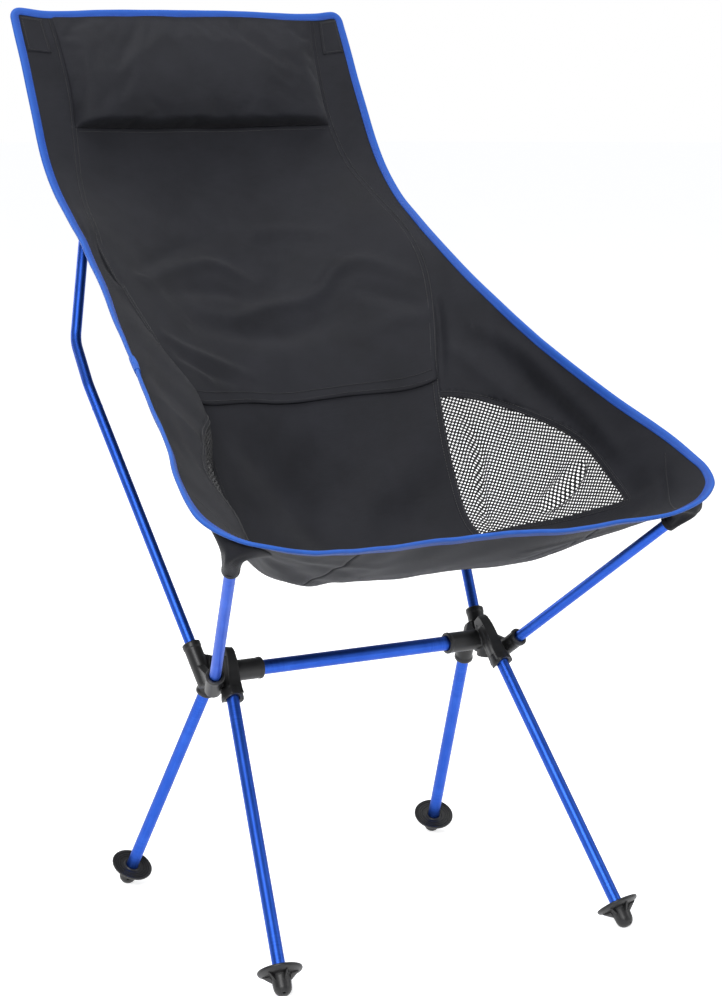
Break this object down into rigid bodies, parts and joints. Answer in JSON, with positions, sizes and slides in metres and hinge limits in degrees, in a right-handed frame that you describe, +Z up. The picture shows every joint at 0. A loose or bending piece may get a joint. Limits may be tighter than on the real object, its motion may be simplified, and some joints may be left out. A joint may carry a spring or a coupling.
{
  "type": "backpacking chair",
  "caption": "High-back folding camp chair: a bucket seat of cloth hung from tensioned poles, on a shock-corded tube frame with moulded hubs and wide feet.",
  "frame": {"origin": "on the ground under the middle of the chair's box", "axes": "+Z up, the sitter faces -Y, +X is to the sitter's left"},
  "size_m": [0.5943, 0.7272, 0.9693],
  "materials": {
    "anodised_tube": "satin blue anodised",
    "hub_plastic": "fine-textured black moulding",
    "plug_plastic": "matte black moulding",
    "elastic_cord": "braided elastic cord",
    "bare_aluminium": "bare drawn tube",
    "seat_cloth": "plain-woven ripstop cloth",
    "mesh_cloth": "open knotted net",
    "edge_binding": "folded woven tape",
    "pillow_foam": "soft wadding"
  },
  "bodies": {
    "frame": {"back_panel": "seat_cloth", "back_pole_lower_left": "anodised_tube", "back_pole_lower_right": "anodised_tube", "back_pole_tip_left": "plug_plastic", "back_pole_tip_right": "plug_plastic", "back_pole_upper_left": "anodised_tube", "back_pole_upper_right": "anodised_tube", "binding_front": "edge_binding", "binding_left": "edge_binding", "binding_right": "edge_binding", "binding_top": "edge_binding", "cord_back_pole_left": "elastic_cord", "cord_back_pole_right": "elastic_cord", "cord_crossbar": "elastic_cord", "cord_seat_pole_left": "elastic_cord", "cord_seat_pole_right": "elastic_cord", "cord_stop_front_left": "elastic_cord", "cord_stop_front_right": "elastic_cord", "cord_stop_rear_left": "elastic_cord", "cord_stop_rear_right": "elastic_cord", "crossbar": "anodised_tube", "ferrule_left": "bare_aluminium", "ferrule_right": "bare_aluminium", "front_pocket_left": "seat_cloth", "front_pocket_right": "seat_cloth", "hub_left": "hub_plastic", "hub_right": "hub_plastic", "mesh_window_left": "mesh_cloth", "mesh_window_right": "mesh_cloth", "pillow_cover": "seat_cloth", "pillow_foam": "pillow_foam", "seat_panel": "seat_cloth", "seat_pole_left": "anodised_tube", "seat_pole_right": "anodised_tube", "seat_pole_tip_left": "plug_plastic", "seat_pole_tip_right": "plug_plastic", "side_panel_left": "seat_cloth", "side_panel_right": "seat_cloth", "top_pocket_left": "seat_cloth", "top_pocket_right": "seat_cloth"},
    "front_leg_right": {"leg_front_right": "anodised_tube", "foot_front_right": "hub_plastic", "plug_front_right": "plug_plastic", "cord_front_right": "elastic_cord"},
    "front_leg_left": {"leg_front_left": "anodised_tube", "foot_front_left": "hub_plastic", "plug_front_left": "plug_plastic", "cord_front_left": "elastic_cord"},
    "rear_leg_right": {"leg_rear_right": "anodised_tube", "foot_rear_right": "hub_plastic", "plug_rear_right": "plug_plastic", "cord_rear_right": "elastic_cord"},
    "rear_leg_left": {"leg_rear_left": "anodised_tube", "foot_rear_left": "hub_plastic", "plug_rear_left": "plug_plastic", "cord_rear_left": "elastic_cord"}
  },
  "joints": [
    {"name": "front_leg_right_fold", "type": "hinge", "parent": "frame", "child": "front_leg_right", "pos_m": [0.15343, -0.08254, 0.22799], "axis": [0.9601, 0.2739, -0.0562], "range_deg": [0, 115], "stiffness_Nm_per_rad": 0.25, "springref_deg": -114.59},
    {"name": "front_leg_left_fold", "type": "hinge", "parent": "frame", "child": "front_leg_left", "pos_m": [-0.15343, -0.08254, 0.22799], "axis": [0.9601, -0.2739, 0.0562], "range_deg": [0, 115], "stiffness_Nm_per_rad": 0.25, "springref_deg": -114.59},
    {"name": "rear_leg_right_fold", "type": "hinge", "parent": "frame", "child": "rear_leg_right", "pos_m": [0.17277, -0.07931, 0.21974], "axis": [-0.9604, -0.1525, -0.2331], "range_deg": [0, 110], "stiffness_Nm_per_rad": 0.25, "springref_deg": -114.59},
    {"name": "rear_leg_left_fold", "type": "hinge", "parent": "frame", "child": "rear_leg_left", "pos_m": [-0.17277, -0.07931, 0.21974], "axis": [-0.9604, 0.1525, 0.2331], "range_deg": [0, 110], "stiffness_Nm_per_rad": 0.25, "springref_deg": -114.59}
  ]
}
